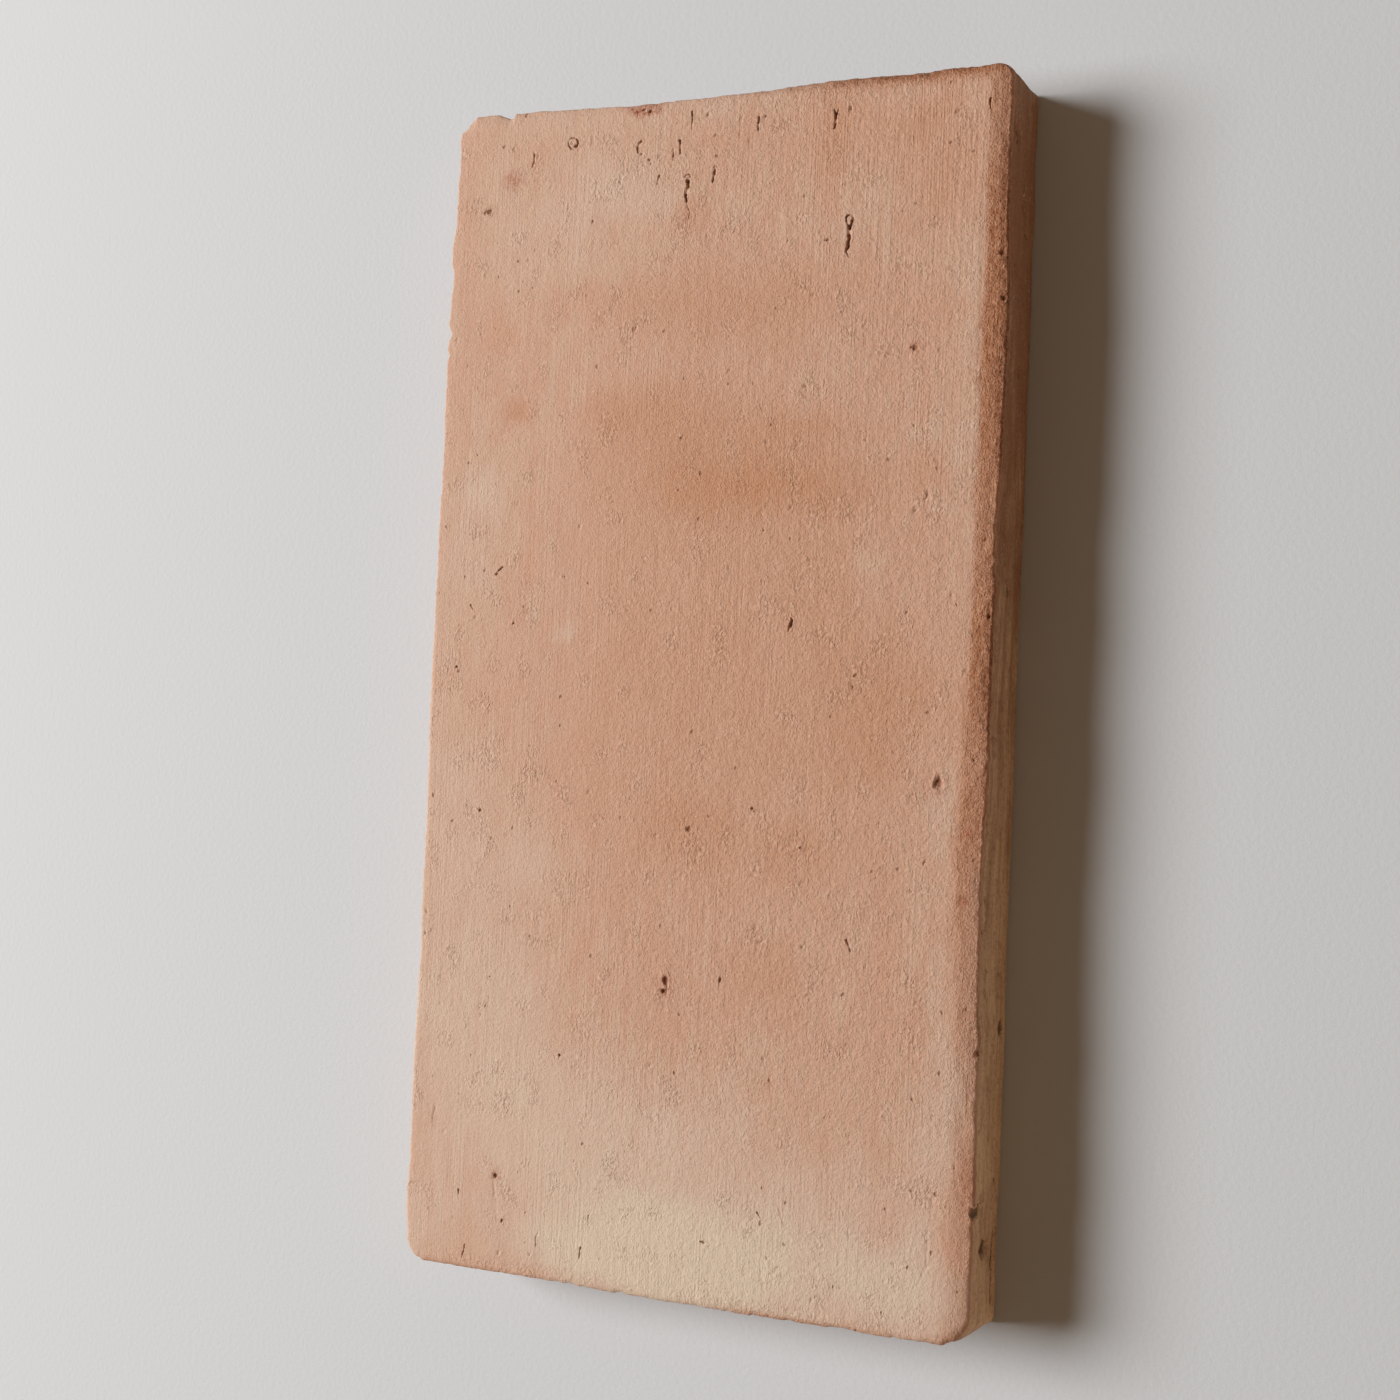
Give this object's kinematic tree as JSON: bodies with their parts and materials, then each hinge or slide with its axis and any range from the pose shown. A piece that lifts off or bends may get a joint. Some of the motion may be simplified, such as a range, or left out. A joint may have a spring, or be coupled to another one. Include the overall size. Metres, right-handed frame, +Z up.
{
  "type": "terracotta tile",
  "caption": "Handmade rectangular terracotta floor tile: a thick fired-clay slab with a smooth worn face, rolled edges and rounded, chipped corners.",
  "frame": {"origin": "middle of the underside, which the tile lies on", "axes": "+Y along the tile's length, the way the clay was drawn, towards the chipped corner; +X across its width; +Z up, out of the worn face"},
  "size_m": [0.15, 0.3, 0.026],
  "materials": {
    "terracotta": "unglazed fired clay, matt, with a smooth worn face"
  },
  "bodies": {
    "root": {"tile": "terracotta"}
  },
  "joints": []
}
